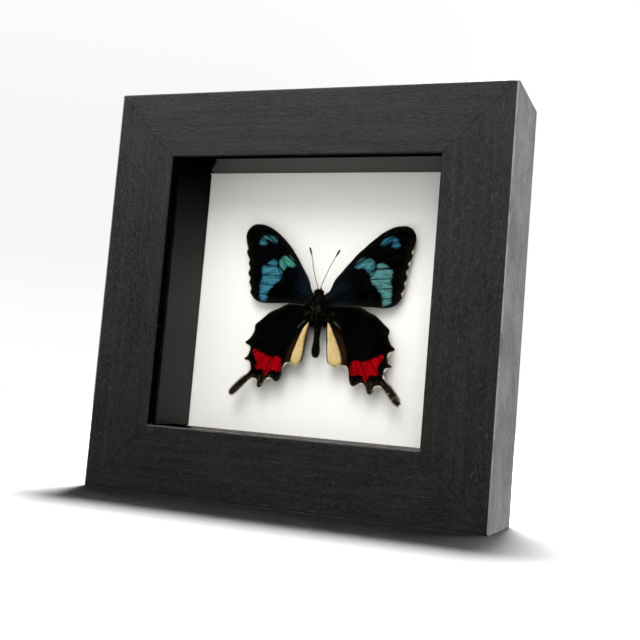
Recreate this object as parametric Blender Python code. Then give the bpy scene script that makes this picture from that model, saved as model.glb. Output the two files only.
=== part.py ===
"""A butterfly specimen in a deep black wooden box frame.

Metres, +Z up. The glass faces -Y, the frame stands on its bottom rail at z = 0, and the origin is under
the middle of its box. A place on the frame is given from one of its four sides: along that side, across
from its outer edge towards the middle, and deep from the front face. A place on the butterfly is given
from the middle of its thorax: out to the side, and up.
"""

import math

import bmesh
import bpy
from mathutils import Matrix, Vector
from mathutils.geometry import delaunay_2d_cdt

MM = 0.001
GAP = 0.3 * MM

# Wooden frame: four mitred rails with a rebate behind a front lip
WIDTH = 150 * MM
HEIGHT = 147 * MM
DEPTH = 36 * MM
BAR = 24.2 * MM
LIP = 4 * MM
REBATE = 6 * MM
ARRIS = 0.6 * MM
MITRE_GAP = 0.05 * MM
EASED_EDGE = 0.2 * MM

# What fills the rebate, from the glass to the back
GLASS_THICK = 2 * MM
GLASS_PLAY = 0.5 * MM
CARD_FRONT = 31.8 * MM
CARD_THICK = 0.6 * MM
BOARD_THICK = 1.8 * MM
TOP_SPACER_SETBACK = 1.3 * MM
BOARD_BACK = CARD_FRONT + CARD_THICK + GAP + BOARD_THICK

# Steel tabs that hold the back board, and the slots in the rails that they enter
TAB_WIDTH = 12 * MM
TAB_THICK = 0.5 * MM
TAB_REACH = 9 * MM
TAB_ROOT = 4 * MM
TAB_CLEARANCE = 0.2 * MM

# Sawtooth hanger on the back of the top rail
HANGER_LENGTH = 42 * MM
HANGER_HEIGHT = 8 * MM
HANGER_THICK = 0.6 * MM
HANGER_RISE = 1.6 * MM
HANGER_ABOVE_MIDDLE = 2 * MM
HANGER_BEND = 2 * MM
HANGER_FLAT_PAST_NAIL = 2.5 * MM
HANGER_TEETH = 9
TOOTH_PITCH = 2.9 * MM
TOOTH_DEPTH = 1.4 * MM
NAIL_SPREAD = 35 * MM
NAIL_HEAD_RADIUS = 1.6 * MM
NAIL_HEAD_THICK = 0.5 * MM
NAIL_SHANK_RADIUS = 0.6 * MM
NAIL_LENGTH = 9 * MM
NAIL_POINT = 1.5 * MM
NAIL_TIP_RADIUS = 0.15 * MM
NAIL_HEAD_GAP = 0.48 * MM

# Butterfly
THORAX_X = 2.7 * MM
THORAX_Z = 72 * MM
WING_DEEP = 24 * MM
WING_THICK = 0.25 * MM
FOREWING_DROOP = 3.8 * MM
HINDWING_DROOP = 2.9 * MM
INNER_FOLD_RISE = 1.4 * MM
TAIL_RISE = 1.5 * MM
LEFT_HINDWING_TURN = math.radians(-1.2)
THORAX_HALF_DEPTH = 2.9 * MM
BLOCK_HALF_WIDTH = 1.8 * MM
BLOCK_HALF_HEIGHT = 3.5 * MM

# The box runs from the front face to the hanger's back, and the origin is at the middle of it
FRONT_Y = -(DEPTH + HANGER_RISE) / 2
BACK_Y = FRONT_Y + DEPTH

SIDES = ("top", "bottom", "left", "right")

# Outlines of the right wings, in millimetres out from the thorax and up
FOREWING = [
    (3.4, 4.6), (5.1, 10.1), (7.5, 13.5), (12.6, 20.4), (17.5, 25.5), (21.4, 28.6), (25.3, 30.6),
    (29.3, 31.2), (31.4, 30.6), (33.0, 29.1), (33.8, 27.0), (33.5, 24.5), (32.5, 21.7), (32.9, 20.2),
    (31.6, 17.5), (31.8, 16.0), (31.0, 14.3), (31.5, 12.2), (30.6, 10.4), (30.8, 8.7), (29.8, 6.5),
    (30.0, 5.1), (29.2, 3.7), (27.9, 2.3), (25.8, 1.4), (23.0, 1.1), (18.0, 1.2), (12.0, 1.2), (3.5, 0.6),
]
HINDWING = [
    (3.5, -0.6), (7.0, 2.3), (11.0, 2.2), (14.5, 1.1), (17.7, -0.5), (21.0, -2.0), (24.4, -4.9),
    (26.6, -7.0), (26.5, -9.3), (27.8, -12.1), (29.5, -13.8), (27.7, -15.0), (27.1, -16.2), (27.8, -18.8),
    (29.1, -20.1), (26.9, -20.9), (26.2, -22.8), (26.6, -24.7), (30.2, -28.1), (33.2, -31.6),
    (33.5, -33.1), (32.0, -33.3), (27.9, -29.1), (25.5, -27.1), (23.3, -27.6), (22.7, -30.1),
    (21.2, -30.1), (20.1, -27.7), (18.3, -26.5), (15.3, -27.9), (13.8, -26.2), (13.3, -22.8),
    (12.2, -20.9), (10.0, -20.6), (7.8, -21.3), (5.2, -19.6), (4.4, -15.0), (3.6, -8.5), (2.9, -4.0),
]

# The body's sections, in millimetres: up, half its width, half its depth, and its middle's shift sideways
BODY_SECTIONS = [
    (6.7, 0.5, 0.5, -0.6), (6.2, 1.4, 1.3, -0.6), (5.3, 1.9, 1.7, -0.5), (4.6, 1.7, 1.6, -0.4),
    (3.9, 2.1, 2.0, -0.3), (2.4, 2.8, 2.6, -0.1), (0.0, 2.9, 2.9, 0.0), (-2.4, 2.4, 2.6, 0.0),
    (-4.4, 1.8, 2.0, 0.0), (-6.0, 1.5, 1.6, 0.0), (-8.5, 1.2, 1.4, 0.0), (-11.0, 1.0, 1.2, 0.0),
    (-13.5, 1.2, 1.3, 0.0), (-15.8, 1.6, 1.5, 0.0), (-17.4, 1.4, 1.3, 0.0), (-18.3, 0.9, 0.8, 0.0),
    (-18.7, 0.3, 0.3, 0.0),
]

# Antenna paths from the head to the club's tip, in millimetres out to their own side of the thorax and up
ANTENNA_LEFT = [(0.9, 7.1), (2.2, 10.2), (3.3, 14.2), (4.2, 18.4), (5.4, 22.0)]
ANTENNA_RIGHT = [(0.1, 7.1), (1.6, 11.6), (3.2, 15.0), (4.8, 18.1), (6.6, 21.3)]
ANTENNA_RADIUS = 0.16 * MM
CLUB_RADIUS = 0.4 * MM
ANTENNA_RINGS = 22


def clear_scene():
    for obj in list(bpy.data.objects):
        bpy.data.objects.remove(obj)


def material(name, colour, roughness, metallic=0.0, transmission=0.0):
    made = bpy.data.materials.new(name)
    made.use_nodes = True
    shader = made.node_tree.nodes["Principled BSDF"]
    shader.inputs["Base Color"].default_value = (*colour, 1)
    shader.inputs["Roughness"].default_value = roughness
    shader.inputs["Metallic"].default_value = metallic
    shader.inputs["Transmission Weight"].default_value = transmission
    return made


def add_object(name, mesh, surface):
    """A scene object for a bmesh, with its faces turned outwards and its round stretches shaded smooth."""
    bmesh.ops.recalc_face_normals(mesh, faces=mesh.faces)
    data = bpy.data.meshes.new(name)
    mesh.to_mesh(data)
    mesh.free()
    data.shade_smooth()
    data.set_sharp_from_angle(angle=math.radians(35))
    data.materials.append(surface)
    obj = bpy.data.objects.new(name, data)
    bpy.context.scene.collection.objects.link(obj)
    return obj


def loft(name, rings, surface):
    """A closed solid through rings of the same number of points, with flat ends."""
    mesh = bmesh.new()
    made = [[mesh.verts.new(point) for point in ring] for ring in rings]
    count = len(made[0])
    for first, second in zip(made, made[1:]):
        for i in range(count):
            after = (i + 1) % count
            mesh.faces.new((first[i], first[after], second[after], second[i]))
    mesh.faces.new(made[0])
    mesh.faces.new(made[-1])
    return add_object(name, mesh, surface)


def cut(target, cutter):
    """Takes the cutter's shape out of the target, and leaves the cutter as a hidden helper."""
    cutter.hide_render = True
    cutter.display_type = "WIRE"
    boolean = target.modifiers.new("cut " + cutter.name, "BOOLEAN")
    boolean.operation = "DIFFERENCE"
    boolean.solver = "EXACT"
    boolean.object = cutter


def place(side, along, across, deep):
    """The point for a place given from one side of the frame."""
    y = FRONT_Y + deep
    if side == "top":
        return Vector((along, y, HEIGHT - across))
    if side == "bottom":
        return Vector((along, y, across))
    if side == "left":
        return Vector((-WIDTH / 2 + across, y, HEIGHT / 2 + along))
    return Vector((WIDTH / 2 - across, y, HEIGHT / 2 + along))


def block(name, side, along, across, deep, surface, edge=0.0):
    """A box between two values each of along, across and deep, with its edges eased by edge."""
    corners = [(across[0], deep[0]), (across[1], deep[0]), (across[1], deep[1]), (across[0], deep[1])]
    rings = [[place(side, end, *corner) for corner in corners] for end in along]
    made = loft(name, rings, surface)
    if edge:
        bevel = made.modifiers.new("eased edges", "BEVEL")
        bevel.width = edge
        bevel.segments = 2
    return made


def cylinder(name, centre, radius, start_y, end_y, surface, sides=20):
    """A round bar along Y."""
    turns = [2 * math.pi * i / sides for i in range(sides)]
    circle = [(centre.x + radius * math.cos(t), centre.z + radius * math.sin(t)) for t in turns]
    rings = [[Vector((x, y, z)) for x, z in circle] for y in (start_y, end_y)]
    return loft(name, rings, surface)


def rounded(corners, steps=4):
    """The points of an outline whose corners are (x, y, radius)."""
    points = []
    for i, (x, y, radius) in enumerate(corners):
        corner = Vector((x, y))
        if radius == 0:
            points.append(corner)
            continue
        before = (Vector(corners[i - 1][:2]) - corner).normalized()
        after = (Vector(corners[(i + 1) % len(corners)][:2]) - corner).normalized()
        middle = corner + (before + after) * radius
        for step in range(steps + 1):
            turn = math.pi / 2 * step / steps
            points.append(middle - after * radius * math.cos(turn) - before * radius * math.sin(turn))
    return points


def smooth(points, steps, closed):
    """A Catmull-Rom curve through the points, with this many steps between each two."""
    count = len(points)
    spans = count if closed else count - 1

    def at(i):
        return Vector(points[i % count] if closed else points[min(max(i, 0), count - 1)])

    curve = []
    for i in range(spans):
        a, b, c, d = (at(i + k) for k in (-1, 0, 1, 2))
        for step in range(steps):
            t = step / steps
            bend = (2 * a - 5 * b + 4 * c - d) * t * t + (3 * b - a - 3 * c + d) * t ** 3
            curve.append(b + ((c - a) * t + bend) / 2)
    if not closed:
        curve.append(at(count - 1))
    return curve


def ease(t):
    """0 below 0, 1 above 1, and a smooth step between."""
    t = min(max(t, 0.0), 1.0)
    return t * t * (3 - 2 * t)


def inside(point, outline):
    """Whether a flat point lies in a closed outline."""
    found = False
    for i, b in enumerate(outline):
        a = outline[i - 1]
        if (a.y > point.y) != (b.y > point.y):
            crossing = a.x + (point.y - a.y) * (b.x - a.x) / (b.y - a.y)
            found ^= point.x < crossing
    return found


def plate(name, outline, spacing, lift, thickness, surface):
    """A thin plate with this flat outline, laid on the surface that lift gives for each flat point."""
    low = Vector((min(p.x for p in outline), min(p.y for p in outline)))
    high = Vector((max(p.x for p in outline), max(p.y for p in outline)))
    grid = []
    for i in range(int((high.x - low.x) / spacing) + 1):
        for j in range(int((high.y - low.y) / spacing) + 1):
            point = low + Vector((i + (j % 2) / 2, j)) * spacing
            near = min((point - p).length for p in outline)
            if near > spacing / 2 and inside(point, outline):
                grid.append(point)
    rim = list(range(len(outline)))
    points, _, faces, *_ = delaunay_2d_cdt(outline + grid, [], [rim], 1, spacing / 1000)
    mesh = bmesh.new()
    verts = [mesh.verts.new(lift(point)) for point in points]
    for face in faces:
        mesh.faces.new([verts[i] for i in face])
    made = add_object(name, mesh, surface)
    solid = made.modifiers.new("thickness", "SOLIDIFY")
    solid.thickness = thickness
    solid.offset = 0
    return made


def build_rails(wood):
    """Four mitred rails: each profile point reaches the mitre plane, which is at 45 degrees."""
    wall = BAR - REBATE
    profile = rounded([
        (0, 0, ARRIS), (BAR, 0, ARRIS), (BAR, LIP, 0), (wall, LIP, 0), (wall, DEPTH, 0), (0, DEPTH, ARRIS),
    ])
    rails = {}
    for side in SIDES:
        half = (WIDTH if side in ("top", "bottom") else HEIGHT) / 2 - MITRE_GAP
        rings = [[place(side, end * (half - p.x), p.x, p.y) for p in profile] for end in (-1, 1)]
        rails[side] = loft("rail_" + side, rings, wood)
    return rails


def build_glass(glass):
    half = WIDTH / 2 - BAR + REBATE - GLASS_PLAY
    across = (BAR - REBATE + GLASS_PLAY, HEIGHT - BAR + REBATE - GLASS_PLAY)
    deep = (LIP + GAP, LIP + GAP + GLASS_THICK)
    block("glass_pane", "bottom", (-half, half), across, deep, glass, edge=EASED_EDGE)


def build_spacers(black):
    """Strips that line the box between the glass and the card. The side strips stand between the others."""
    wall = BAR - REBATE + GAP
    deep = (LIP + GLASS_THICK + 2 * GAP, CARD_FRONT - GAP)
    width = WIDTH / 2 - wall
    top = BAR - TOP_SPACER_SETBACK
    upright = (BAR + GAP - HEIGHT / 2, HEIGHT / 2 - top - GAP)
    block("spacer_top", "top", (-width, width), (wall, top), deep, black, edge=EASED_EDGE)
    block("spacer_bottom", "bottom", (-width, width), (wall, BAR), deep, black, edge=EASED_EDGE)
    for side in ("left", "right"):
        block("spacer_" + side, side, upright, (wall, BAR), deep, black, edge=EASED_EDGE)


def build_card_and_board(card, board):
    wall = BAR - REBATE + GAP
    half = WIDTH / 2 - wall
    across = (wall, HEIGHT - wall)
    block("mount_card", "bottom", (-half, half), across, (CARD_FRONT, CARD_FRONT + CARD_THICK), card)
    board_deep = (BOARD_BACK - BOARD_THICK, BOARD_BACK)
    block("back_board", "bottom", (-half, half), across, board_deep, board, edge=EASED_EDGE)


def build_tabs(rails, steel):
    """A flat steel tab at the middle of each side, in a slot in its rail, lies over the board's edge."""
    wall = BAR - REBATE
    front = BOARD_BACK + TAB_CLEARANCE
    half = TAB_WIDTH / 2
    across = (wall - TAB_ROOT, wall + TAB_REACH)
    deep = (front, front + TAB_THICK)
    slot_across = (across[0] - GAP, wall + GAP)
    slot_deep = (deep[0] - GAP / 2, deep[1] + GAP / 2)
    for side in SIDES:
        block("tab_" + side, side, (-half, half), across, deep, steel, edge=EASED_EDGE / 2)
        slot = block("slot_" + side, side, (-half - GAP, half + GAP), slot_across, slot_deep, steel)
        cut(rails[side], slot)


def hanger_outline():
    """A bar with teeth along its lower edge, in the middle of its length."""
    half = HANGER_LENGTH / 2
    start = -TOOTH_PITCH * HANGER_TEETH / 2
    points = [(-half, HANGER_HEIGHT / 2), (-half, -HANGER_HEIGHT / 2)]
    for tooth in range(HANGER_TEETH):
        left = start + tooth * TOOTH_PITCH
        points.append((left, -HANGER_HEIGHT / 2))
        points.append((left + TOOTH_PITCH / 2, -HANGER_HEIGHT / 2 + TOOTH_DEPTH))
    points += [(-start, -HANGER_HEIGHT / 2), (half, -HANGER_HEIGHT / 2), (half, HANGER_HEIGHT / 2)]
    return [Vector(point) for point in points]


def build_hanger(top_rail, steel):
    """The hanger's ends lie on the rail, under the nails, and its toothed middle stands off it."""
    middle = Vector((0, 0, HEIGHT - BAR / 2 + HANGER_ABOVE_MIDDLE))
    flat = NAIL_SPREAD / 2 - HANGER_FLAT_PAST_NAIL
    low = BACK_Y + GAP + HANGER_THICK / 2
    high = BACK_Y + HANGER_RISE - HANGER_THICK / 2

    def lift(point):
        raised = ease((flat - abs(point.x)) / HANGER_BEND)
        return Vector((point.x, low + (high - low) * raised, middle.z + point.y))

    hanger = plate("sawtooth_hanger", hanger_outline(), 1.5 * MM, lift, HANGER_THICK, steel)
    head_y = BACK_Y + HANGER_THICK + NAIL_HEAD_GAP
    for name, end in (("left", -1), ("right", 1)):
        centre = middle + Vector((end * NAIL_SPREAD / 2, 0, 0))
        ends = (head_y - NAIL_LENGTH - GAP, head_y + NAIL_HEAD_THICK)
        hole = cylinder("nail_hole_" + name, centre, NAIL_SHANK_RADIUS + GAP, *ends, steel)
        cut(hanger, hole)
        cut(top_rail, hole)
        build_nail("hanger_nail_" + name, centre, head_y, steel)


def build_nail(name, centre, head_y, steel):
    """A round-headed nail that points into the rail."""
    tip_y = head_y - NAIL_LENGTH
    sections = [
        (tip_y, NAIL_TIP_RADIUS), (tip_y + NAIL_POINT, NAIL_SHANK_RADIUS), (head_y, NAIL_SHANK_RADIUS),
        (head_y, NAIL_HEAD_RADIUS), (head_y + NAIL_HEAD_THICK * 0.6, NAIL_HEAD_RADIUS * 0.9),
        (head_y + NAIL_HEAD_THICK, NAIL_HEAD_RADIUS * 0.4),
    ]
    turns = [2 * math.pi * i / 16 for i in range(16)]
    rings = [
        [Vector((centre.x + r * math.cos(t), y, centre.z + r * math.sin(t))) for t in turns]
        for y, r in sections
    ]
    loft(name, rings, steel)


def on_butterfly(out, up, deep=0.0):
    """The point for a place on the butterfly, deep behind the wings' plane."""
    return Vector((THORAX_X + out, FRONT_Y + WING_DEEP + deep, THORAX_Z + up))


def forewing_depth(out, up):
    """The forewing leaves the thorax in front of the hindwing and droops towards the card."""
    return -0.4 * MM + FOREWING_DROOP * ease(out / (20 * MM))


def hindwing_depth(out, up):
    """The hindwing's upper half droops behind the forewing, and its inner margin and tail curl forward."""
    droop = HINDWING_DROOP * ease(out / (15 * MM)) * ease((up + 22 * MM) / (20 * MM))
    fold = INNER_FOLD_RISE * ease((10 * MM - out) / (5 * MM)) * ease((-4 * MM - up) / (6 * MM))
    tail = TAIL_RISE * ease((-26 * MM - up) / (8 * MM))
    return 0.3 * MM + droop - fold - tail


def build_wing(name, side, outline, depth_of, turn, scales):
    """A wing on one side, which is -1 for the left, turned in its own plane about the thorax."""
    spin = Matrix.Rotation(turn, 2)
    flat = [spin @ (point * MM) for point in smooth(outline, 2, closed=True)]

    def lift(point):
        return on_butterfly(side * point.x, point.y, depth_of(point.x, point.y))

    plate(name, flat, 3 * MM, lift, WING_THICK, scales)


def build_body(chitin):
    """Head, thorax and abdomen in one."""
    turns = [2 * math.pi * i / 20 for i in range(20)]
    rings = [
        [on_butterfly((shift + half_width * math.cos(t)) * MM, up * MM, half_depth * math.sin(t) * MM)
         for t in turns]
        for up, half_width, half_depth, shift in BODY_SECTIONS
    ]
    loft("body", rings, chitin)


def build_antenna(name, side, path, chitin):
    """A thin stalk that thickens into a club over its last fifth."""
    curve = smooth(path, 6, closed=False)
    turns = [2 * math.pi * i / 8 for i in range(8)]
    rings = []
    for i in range(ANTENNA_RINGS):
        share = i / (ANTENNA_RINGS - 1)
        where = curve[round(share * (len(curve) - 1))]
        club = ease((share - 0.78) / 0.1) * (1 - 0.8 * ease((share - 0.92) / 0.08))
        radius = ANTENNA_RADIUS + (CLUB_RADIUS - ANTENNA_RADIUS) * club
        if share > 0.97:
            radius = ANTENNA_RADIUS
        middle = on_butterfly(side * where.x * MM, where.y * MM, -0.6 * MM)
        rings.append([middle + Vector((radius * math.cos(t), radius * math.sin(t), 0)) for t in turns])
    loft(name, rings, chitin)


def build_stand_off(foam):
    """A foam block glued between the thorax and the card holds the butterfly off the card."""
    thorax_back = WING_DEEP + THORAX_HALF_DEPTH + GAP
    along = (THORAX_X - BLOCK_HALF_WIDTH, THORAX_X + BLOCK_HALF_WIDTH)
    across = (THORAX_Z - BLOCK_HALF_HEIGHT, THORAX_Z + BLOCK_HALF_HEIGHT)
    block("stand_off_block", "bottom", along, across, (thorax_back, CARD_FRONT - GAP), foam)


def build_butterfly(scales, chitin, foam):
    for name, side, turn in (("left", -1, LEFT_HINDWING_TURN), ("right", 1, 0.0)):
        build_wing("forewing_" + name, side, FOREWING, forewing_depth, 0.0, scales)
        build_wing("hindwing_" + name, side, HINDWING, hindwing_depth, turn, scales)
    build_body(chitin)
    build_antenna("antenna_left", -1, ANTENNA_LEFT, chitin)
    build_antenna("antenna_right", 1, ANTENNA_RIGHT, chitin)
    build_stand_off(foam)


def main():
    clear_scene()
    black_wood = material("black_wood", (0.03, 0.03, 0.03), 0.55)
    clear_glass = material("clear_glass", (1, 1, 1), 0.03, transmission=1.0)
    black_board = material("black_board", (0.02, 0.02, 0.02), 0.8)
    white_card = material("white_card", (0.85, 0.85, 0.83), 0.9)
    brown_board = material("brown_board", (0.28, 0.18, 0.1), 0.8)
    steel = material("steel", (0.6, 0.6, 0.6), 0.35, metallic=1.0)
    wing_scales = material("wing_scales", (0.02, 0.02, 0.03), 0.7)
    chitin = material("chitin", (0.04, 0.035, 0.03), 0.6)
    foam = material("foam", (0.8, 0.8, 0.78), 0.9)

    rails = build_rails(black_wood)
    build_glass(clear_glass)
    build_spacers(black_board)
    build_card_and_board(white_card, brown_board)
    build_tabs(rails, steel)
    build_hanger(rails["top"], steel)
    build_butterfly(wing_scales, chitin, foam)


main()
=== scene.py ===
"""Looks of the framed butterfly: materials, the butterfly's fine shapes, soft light and the camera.

Metres, +Z up, the glass faces -Y. A place on the butterfly is given in millimetres from the middle of its
thorax: out to the side, and up. The right wings' outlines serve both sides.
"""

import math

import bpy
import numpy as np
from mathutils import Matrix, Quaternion, Vector
from mathutils.geometry import delaunay_2d_cdt


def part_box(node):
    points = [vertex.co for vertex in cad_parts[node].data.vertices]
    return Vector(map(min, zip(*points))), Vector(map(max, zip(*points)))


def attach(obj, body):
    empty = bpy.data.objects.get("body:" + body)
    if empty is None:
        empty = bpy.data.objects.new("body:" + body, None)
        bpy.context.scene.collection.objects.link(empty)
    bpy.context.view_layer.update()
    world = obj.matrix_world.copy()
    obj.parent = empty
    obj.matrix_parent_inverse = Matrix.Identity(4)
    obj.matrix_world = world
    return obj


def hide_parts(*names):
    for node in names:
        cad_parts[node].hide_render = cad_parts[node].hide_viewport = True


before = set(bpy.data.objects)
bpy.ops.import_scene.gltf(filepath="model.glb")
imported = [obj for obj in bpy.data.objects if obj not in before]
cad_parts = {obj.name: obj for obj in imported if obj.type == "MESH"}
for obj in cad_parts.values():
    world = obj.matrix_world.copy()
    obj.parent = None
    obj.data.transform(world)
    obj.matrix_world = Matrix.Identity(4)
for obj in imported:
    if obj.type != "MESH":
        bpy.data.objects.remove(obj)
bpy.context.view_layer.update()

MM = 0.001

# The frame's own places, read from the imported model
FRONT_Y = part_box("rail_top")[0].y
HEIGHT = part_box("rail_top")[1].z
HALF_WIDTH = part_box("rail_right")[1].x
RAIL_WIDTH = 24.2 * MM
OPENING_HALF_WIDTH = HALF_WIDTH - RAIL_WIDTH
OPENING_HALF_HEIGHT = HEIGHT / 2 - RAIL_WIDTH
ARRIS = 0.6 * MM

# The thorax's middle, which is the butterfly's origin, lies this far below the top of the head
HEAD_TOP = 6.7
BODY_LOW, BODY_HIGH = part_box("body")
THORAX = np.array([
    (BODY_LOW.x + BODY_HIGH.x) / 2,
    (BODY_LOW.y + BODY_HIGH.y) / 2,
    BODY_HIGH.z - HEAD_TOP * MM,
])

# Camera, in the frame's own coordinates
CAMERA_PLACE = (0.1370, -0.3343, 0.0367)
CAMERA_AIM = (0.01255, -0.0188, 0.0652)
CAMERA_ROLL = math.radians(4.8)
LENS_MM = 56.16

# Outlines of the right wings
FOREWING = [
    (1.6, 4.0), (3.5, 6.0), (5.1, 10.1), (7.5, 13.5), (12.6, 20.4), (17.5, 25.5), (21.4, 28.6),
    (25.3, 30.6), (29.3, 31.2), (31.4, 30.6), (33.0, 29.1), (33.8, 27.0), (33.5, 24.5), (32.5, 21.7),
    (32.9, 20.2), (31.6, 17.5), (31.8, 16.0), (31.0, 14.3), (31.5, 12.2), (30.6, 10.4), (30.8, 8.7),
    (29.8, 6.5), (30.0, 5.1), (29.2, 3.7), (27.9, 2.3), (25.8, 1.4), (23.0, 1.1), (18.0, 1.2),
    (12.0, 1.2), (3.5, 0.4), (1.4, 0.6),
]
HINDWING = [
    (1.4, 0.2), (3.5, 0.6), (7.0, 2.3), (11.0, 2.2), (14.5, 1.1), (17.7, -0.5), (21.0, -2.0),
    (24.4, -4.9), (26.6, -7.0), (26.5, -9.3), (27.8, -12.1), (29.5, -13.8), (27.7, -15.0),
    (27.1, -16.2), (27.8, -18.8), (29.1, -20.1), (26.9, -20.9), (26.2, -22.8), (26.6, -24.7),
    (30.2, -28.1), (33.2, -31.6), (33.5, -33.1), (32.0, -33.3), (27.9, -29.1), (25.5, -27.1),
    (23.3, -27.6), (22.7, -30.1), (21.2, -30.1), (20.1, -27.7), (18.3, -26.5), (15.3, -27.9),
    (13.8, -26.2), (13.3, -22.8), (12.2, -20.9), (10.0, -20.6), (7.8, -21.3), (5.2, -19.6),
    (4.4, -15.0), (3.6, -8.5), (2.6, -4.0), (1.3, -2.5),
]

# Coloured areas of the right wings
CELL_SPOT = [
    (11.2, 15.6), (12.2, 17.3), (13.8, 18.8), (15.4, 19.4), (17.2, 19.1), (18.5, 18.2), (19.1, 17.0),
    (18.9, 15.6), (18.1, 14.4), (17.0, 13.5), (16.2, 14.1), (15.6, 15.0), (14.2, 15.2), (12.6, 14.9),
]
BAND_TOP = [
    (19.4, 16.2), (20.0, 17.3), (21.2, 17.8), (22.6, 17.2), (24.2, 16.0), (23.0, 15.6), (20.6, 15.3),
]
BAND = [
    (19.3, 14.6), (19.8, 15.2), (22.5, 15.4), (25.6, 15.3), (26.0, 14.2), (25.8, 12.4), (25.7, 10.2),
    (26.4, 8.4), (26.2, 5.8), (26.2, 3.6), (25.6, 2.4), (24.2, 1.9), (22.9, 2.2), (22.9, 4.0),
    (22.2, 5.8), (20.8, 7.4), (19.6, 9.0), (18.3, 9.8), (17.6, 11.4), (17.3, 12.8), (18.2, 13.7),
]
TIP_SPOTS = [
    [
        (20.4, 24.6), (21.3, 25.9), (22.9, 26.7), (24.5, 26.8), (25.0, 26.2), (24.4, 25.2), (23.1, 24.5),
        (21.6, 24.1),
    ],
    [(24.4, 26.9), (25.8, 26.9), (27.0, 26.3), (27.4, 25.5), (26.4, 24.9), (25.0, 25.1)],
    [(24.8, 23.8), (25.7, 24.6), (27.0, 24.8), (28.0, 24.4), (28.0, 23.6), (27.1, 23.1), (25.8, 23.0)],
]
RED_PATCH = [
    (13.9, -19.6), (15.0, -18.9), (16.4, -18.7), (17.6, -19.2), (19.6, -18.7), (21.6, -17.7),
    (23.6, -16.9), (25.0, -16.1), (25.8, -16.6), (25.6, -17.6), (24.7, -19.3), (23.9, -21.2),
    (24.5, -22.9), (23.6, -23.8), (21.8, -23.4), (21.0, -24.3), (20.2, -26.1), (19.3, -25.1),
    (18.5, -24.0), (17.0, -23.7), (15.0, -24.3), (14.1, -23.8), (13.8, -21.6),
]
FOLD = [
    (3.5, -5.2), (4.3, -5.6), (5.6, -7.6), (7.0, -10.6), (8.4, -13.8), (9.5, -16.8), (9.9, -19.0),
    (9.3, -20.6), (7.9, -21.2), (6.3, -20.6), (5.3, -19.0), (4.8, -16.0), (4.5, -12.0), (4.0, -8.5),
]

FOREWING_AREAS = {"cell_spot": [CELL_SPOT], "band": [BAND_TOP, BAND], "tip_spots": TIP_SPOTS}
HINDWING_AREAS = {"red": [RED_PATCH], "fold": [FOLD]}

# The forewings' hues, which the scales' gloss sets apart from side to side
FOREWING_HUES = {
    "left": {
        "cell_spot": ((50, 124, 124), (88, 152, 116)),
        "band": ((50, 110, 134), (54, 117, 128)),
        "tip_spots": ((54, 116, 126), (66, 128, 126)),
    },
    "right": {
        "cell_spot": ((42, 96, 118), (72, 122, 118)),
        "band": ((72, 124, 126), (76, 126, 114)),
        "tip_spots": ((48, 108, 134), (58, 122, 128)),
    },
}

# Veins of the right wings, from the root outwards
FOREWING_VEINS = [
    [
        (2.5, 3.8), (6.0, 9.0), (10.5, 14.8), (15.5, 18.9), (18.6, 19.2), (19.5, 17.4), (19.6, 15.1),
        (18.3, 12.6),
    ],
    [(2.5, 2.2), (9.0, 5.2), (14.0, 8.6), (18.3, 12.6)],
    [(2.5, 1.6), (10.0, 2.9), (20.0, 4.1), (29.9, 5.1)],
    [(9.0, 5.2), (15.0, 6.8), (21.0, 7.9), (30.7, 8.7)],
    [(14.0, 8.6), (18.0, 11.2), (24.0, 11.8), (31.4, 12.2)],
    [(19.6, 15.1), (25.0, 15.5), (31.7, 16.0)],
    [(19.5, 17.4), (25.0, 18.6), (32.8, 20.2)],
    [(18.6, 19.2), (25.0, 22.0), (33.5, 24.5)],
    [(18.6, 19.2), (24.5, 24.6), (33.6, 27.6)],
    [(15.5, 18.9), (21.0, 23.8), (26.5, 28.0), (31.3, 30.5)],
    [(13.5, 17.5), (18.5, 22.8), (25.2, 30.4)],
    [(10.5, 14.8), (15.0, 20.6), (21.2, 28.3)],
    [(7.5, 11.2), (11.5, 17.6), (17.4, 25.2)],
]
HINDWING_VEINS = [
    [(2.0, -0.6), (8.0, 0.2), (15.0, -0.8), (20.5, -3.0), (26.3, -6.9)],
    [(2.2, -0.9), (8.0, -1.8), (13.5, -4.6), (15.8, -8.4), (15.4, -11.6), (13.2, -13.2)],
    [(13.5, -4.6), (19.5, -6.2), (26.5, -9.4)],
    [(15.8, -8.4), (21.5, -10.4), (29.3, -13.7)],
    [(15.4, -11.6), (21.5, -15.4), (28.9, -20.0)],
    [(15.0, -12.2), (20.5, -18.2), (25.4, -24.6), (32.9, -32.4)],
    [(13.2, -13.2), (17.6, -19.6), (20.3, -25.2), (22.0, -29.8)],
    [(9.8, -11.2), (13.4, -17.8), (15.6, -27.4)],
    [(2.2, -1.4), (6.4, -7.0), (9.8, -11.2), (13.2, -13.2)],
    [(2.3, -2.0), (6.2, -8.6), (9.6, -14.6), (11.4, -20.4)],
]

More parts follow.
